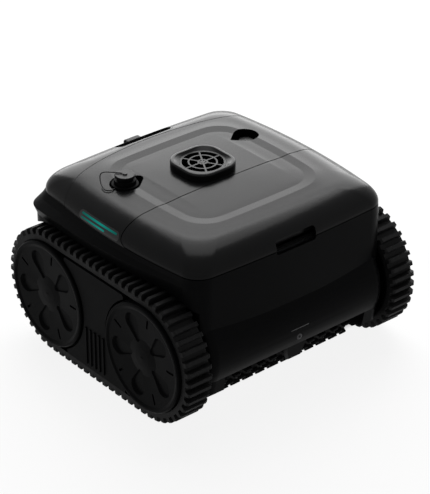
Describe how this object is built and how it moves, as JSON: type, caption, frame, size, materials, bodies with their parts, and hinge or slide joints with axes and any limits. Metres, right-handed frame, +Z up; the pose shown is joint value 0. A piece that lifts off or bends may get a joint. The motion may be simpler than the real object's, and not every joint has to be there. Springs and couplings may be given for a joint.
{
  "type": "robotic pool cleaner",
  "caption": "Cordless tracked pool cleaning robot: domed housing with hinged filter lid, outlet grille on top, rubber tracks on spoked wheels and a bladed brush roller in front.",
  "frame": {"origin": "on the pool floor, midway between the tracks and midway along them", "axes": "+X to the cleaner's right seen from behind its front, across the tracks; +Y to the rear; +Z up"},
  "size_m": [0.3978, 0.38, 0.2605],
  "materials": {
    "body_plastic": "satin charcoal",
    "black_plastic": "matte black",
    "track_rubber": "matte black",
    "brush_rubber": "matte black",
    "seal_rubber": "matte black",
    "cap_grey": "matte grey",
    "light_smoke": "smoked gloss",
    "light_teal": "lit teal",
    "steel": "brushed",
    "inner_plastic": "matte dark grey",
    "filter_cloth": "fine mesh",
    "motor_metal": "satin",
    "gear_plastic": "natural"
  },
  "bodies": {
    "housing": {"lower_housing": "body_plastic", "rear_deck": "body_plastic", "rear_panel": "body_plastic", "handle_well": "body_plastic", "outlet_ring": "body_plastic", "outlet_grille": "body_plastic", "bottom_plate": "black_plastic", "side_panel_left": "black_plastic", "side_panel_right": "black_plastic", "charge_port": "black_plastic", "brush_bearing": "black_plastic", "track_left": "track_rubber", "track_right": "track_rubber", "lid_gasket": "seal_rubber", "cap_tether": "seal_rubber", "light_window": "light_smoke", "light_bars": "light_teal", "axle_front_left": "steel", "axle_front_right": "steel", "axle_rear_left": "steel", "axle_rear_right": "steel", "axle_screws": "steel", "bottom_screws": "steel", "post_screw": "steel", "lid_hinge_pins": "steel", "lid_hinge_bracket": "inner_plastic", "filter_chamber": "inner_plastic", "filter_basket": "inner_plastic", "inlet_duct": "inner_plastic", "pump_duct": "inner_plastic", "battery_pack": "inner_plastic", "control_box": "inner_plastic", "filter_mesh": "filter_cloth", "drive_motor_left": "motor_metal", "drive_motor_right": "motor_metal", "pump_motor": "motor_metal"},
    "lid": {"lid": "body_plastic"},
    "impeller": {"impeller": "inner_plastic"},
    "inlet_flap": {"inlet_flap": "seal_rubber"},
    "power_button": {"power_button": "black_plastic"},
    "charge_cap": {"charge_cap": "seal_rubber", "cap_disc": "cap_grey"},
    "brush_left": {"brush_core_left": "black_plastic", "brush_sleeves_left": "brush_rubber"},
    "drive_pinion_left": {"drive_pinion_left": "gear_plastic"},
    "wheel_front_left": {"wheel_front_left": "black_plastic", "hubcap_front_left": "black_plastic"},
    "wheel_rear_left": {"wheel_rear_left": "black_plastic", "hubcap_rear_left": "black_plastic"},
    "brush_right": {"brush_core_right": "black_plastic", "brush_sleeves_right": "brush_rubber"},
    "drive_pinion_right": {"drive_pinion_right": "gear_plastic"},
    "wheel_front_right": {"wheel_front_right": "black_plastic", "hubcap_front_right": "black_plastic"},
    "wheel_rear_right": {"wheel_rear_right": "black_plastic", "hubcap_rear_right": "black_plastic"}
  },
  "joints": [
    {"name": "lid_hinge", "type": "hinge", "parent": "housing", "child": "lid", "pos_m": [0, -0.04, 0.2432], "axis": [-1, 0, 0], "range_deg": [0, 85]},
    {"name": "wheel_rear_left_spin", "type": "hinge", "parent": "housing", "child": "wheel_rear_left", "pos_m": [0, 0.1, 0.09], "axis": [1, 0, 0], "continuous": true},
    {"name": "wheel_front_left_spin", "type": "hinge", "parent": "housing", "child": "wheel_front_left", "pos_m": [0, -0.1, 0.09], "axis": [1, 0, 0], "continuous": true},
    {"name": "drive_pinion_left_spin", "type": "hinge", "parent": "housing", "child": "drive_pinion_left", "pos_m": [0, 0.04362, 0.06948], "axis": [1, 0, 0], "continuous": true},
    {"name": "brush_left_spin", "type": "hinge", "parent": "housing", "child": "brush_left", "pos_m": [0, -0.107, 0.03041], "axis": [1, 0, 0], "continuous": true},
    {"name": "wheel_rear_right_spin", "type": "hinge", "parent": "housing", "child": "wheel_rear_right", "pos_m": [0, 0.1, 0.09], "axis": [1, 0, 0], "continuous": true},
    {"name": "wheel_front_right_spin", "type": "hinge", "parent": "housing", "child": "wheel_front_right", "pos_m": [0, -0.1, 0.09], "axis": [1, 0, 0], "continuous": true},
    {"name": "drive_pinion_right_spin", "type": "hinge", "parent": "housing", "child": "drive_pinion_right", "pos_m": [0, 0.04362, 0.06948], "axis": [1, 0, 0], "continuous": true},
    {"name": "brush_right_spin", "type": "hinge", "parent": "housing", "child": "brush_right", "pos_m": [0, -0.107, 0.03041], "axis": [1, 0, 0], "continuous": true},
    {"name": "impeller_spin", "type": "hinge", "parent": "housing", "child": "impeller", "pos_m": [0, 0.017, 0.2], "axis": [0, 0, 1], "continuous": true},
    {"name": "inlet_flap_hinge", "type": "hinge", "parent": "housing", "child": "inlet_flap", "pos_m": [0, -0.0756, 0.0848], "axis": [1, 0, 0], "range_deg": [0, 70]},
    {"name": "power_button_press", "type": "slide", "parent": "housing", "child": "power_button", "axis": [0, 0, -1], "range_m": [0, 0.0015], "stiffness_N_per_m": 400},
    {"name": "charge_cap_pull", "type": "slide", "parent": "housing", "child": "charge_cap", "axis": [0, 0, 1], "range_m": [0, 0.012], "deforming": ["cap_tether"]}
  ],
  "couplings": [
    {"joint": "wheel_front_left_spin", "follows": "wheel_rear_left_spin", "ratio": 1},
    {"joint": "drive_pinion_left_spin", "follows": "wheel_rear_left_spin", "ratio": 7},
    {"joint": "brush_left_spin", "follows": "wheel_rear_left_spin", "ratio": 7},
    {"joint": "wheel_front_right_spin", "follows": "wheel_rear_right_spin", "ratio": 1},
    {"joint": "drive_pinion_right_spin", "follows": "wheel_rear_right_spin", "ratio": 7},
    {"joint": "brush_right_spin", "follows": "wheel_rear_right_spin", "ratio": 7}
  ]
}
